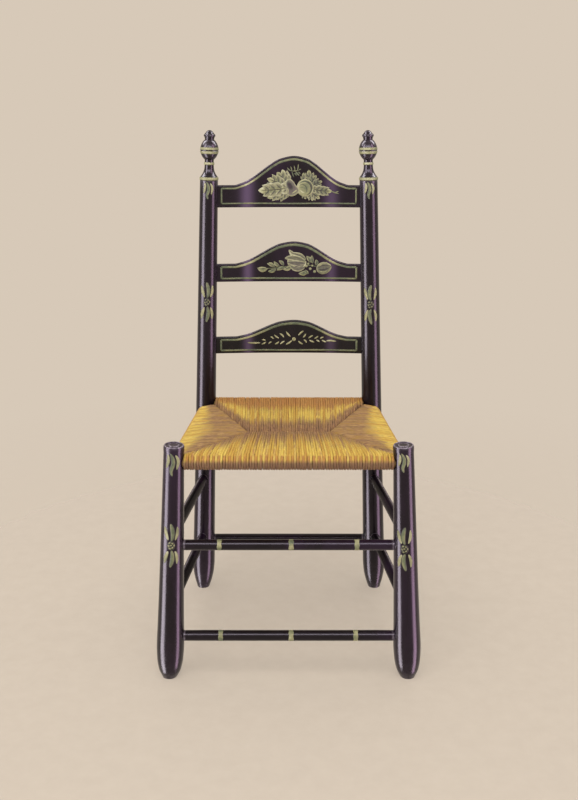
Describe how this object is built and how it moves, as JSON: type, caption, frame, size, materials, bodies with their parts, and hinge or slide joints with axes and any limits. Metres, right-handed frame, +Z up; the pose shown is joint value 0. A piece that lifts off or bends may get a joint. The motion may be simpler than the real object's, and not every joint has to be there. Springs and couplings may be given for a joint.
{
  "type": "ladder-back side chair",
  "caption": "Painted ladder-back side chair with turned finial posts, arched stenciled slats, round stretchers and a woven rush seat.",
  "frame": {"origin": "On the floor at the centre of the chair's overall box: midway between left and right, and between the front posts' bellies and the finials.", "axes": "+Z up. The chair faces -Y, so the sitter looks along -Y. +X is to the right as seen from in front."},
  "size_m": [0.503, 0.4344, 1.015],
  "materials": {
    "black_paint": "aged gloss paint, near-black aubergine with plum tones, lined and stenciled in green and gold",
    "rail_wood": "bare shaved hardwood",
    "peg_wood": "hardwood peg, painted over",
    "rush": "twisted rush, golden with brown shading",
    "stuffing": "dry rush packing"
  },
  "bodies": {
    "root": {"left_front_post": "black_paint", "left_back_post": "black_paint", "left_upper_side_stretcher": "black_paint", "left_lower_side_stretcher": "black_paint", "left_seat_rail": "rail_wood", "left_slat_peg": "peg_wood", "right_front_post": "black_paint", "right_back_post": "black_paint", "right_upper_side_stretcher": "black_paint", "right_lower_side_stretcher": "black_paint", "right_seat_rail": "rail_wood", "right_slat_peg": "peg_wood", "top_slat": "black_paint", "middle_slat": "black_paint", "bottom_slat": "black_paint", "front_upper_stretcher": "black_paint", "front_lower_stretcher": "black_paint", "rear_stretcher": "black_paint", "front_seat_rail": "rail_wood", "back_seat_rail": "rail_wood", "front_rush_section": "rush", "front_stuffing": "stuffing", "back_rush_section": "rush", "back_stuffing": "stuffing", "left_rush_section": "rush", "left_stuffing": "stuffing", "right_rush_section": "rush", "right_stuffing": "stuffing"}
  },
  "joints": []
}
